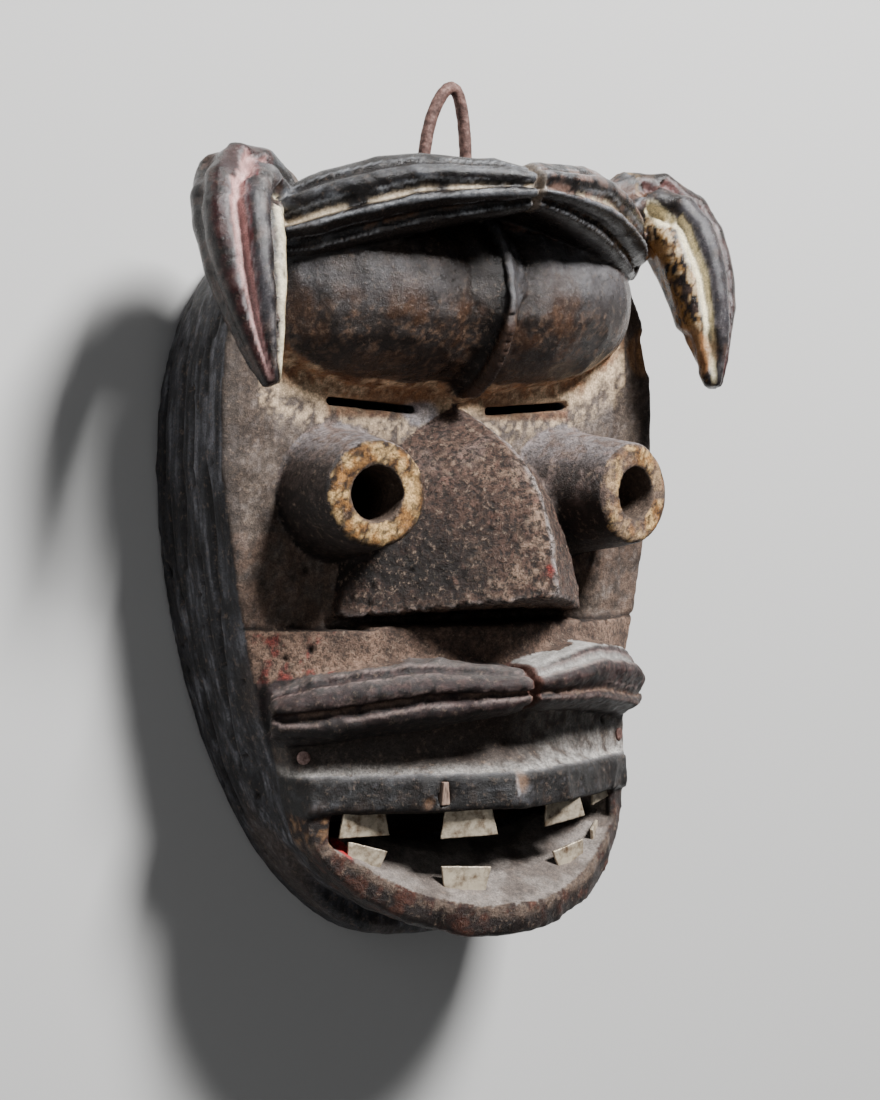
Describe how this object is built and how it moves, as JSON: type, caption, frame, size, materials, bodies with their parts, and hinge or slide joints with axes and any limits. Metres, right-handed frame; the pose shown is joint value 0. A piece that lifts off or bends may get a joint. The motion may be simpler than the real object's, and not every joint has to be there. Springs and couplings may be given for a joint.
{
  "type": "carved wooden face mask",
  "caption": "Hollow carved face mask with tubular eyes, down-turned horns, fluted band and moustache, metal teeth and a hanging loop.",
  "frame": {"origin": "bottom centre of the bounding box: the plane that the mask's back rim rests on", "axes": "+X across the face to the viewer's right, +Y up the face from chin to crown, +Z forward out of the face"},
  "size_m": [0.2404, 0.333, 0.1163],
  "materials": {
    "blackened_wood": "dark worn patina over carved wood",
    "rusted_iron": "dull brown rust",
    "dull_aluminium": "dull brushed sheet",
    "raw_wood": "bare split wood"
  },
  "bodies": {
    "root": {"mask_body": "blackened_wood", "iron_loop": "rusted_iron", "tooth_upper_1": "dull_aluminium", "tooth_upper_2": "dull_aluminium", "tooth_upper_3": "dull_aluminium", "tooth_upper_4": "dull_aluminium", "tooth_lower_1": "dull_aluminium", "tooth_lower_2": "dull_aluminium", "tooth_lower_3": "dull_aluminium", "tooth_lower_4": "dull_aluminium", "nail_left": "rusted_iron", "nail_right": "rusted_iron", "lip_wedge": "raw_wood"}
  },
  "joints": []
}
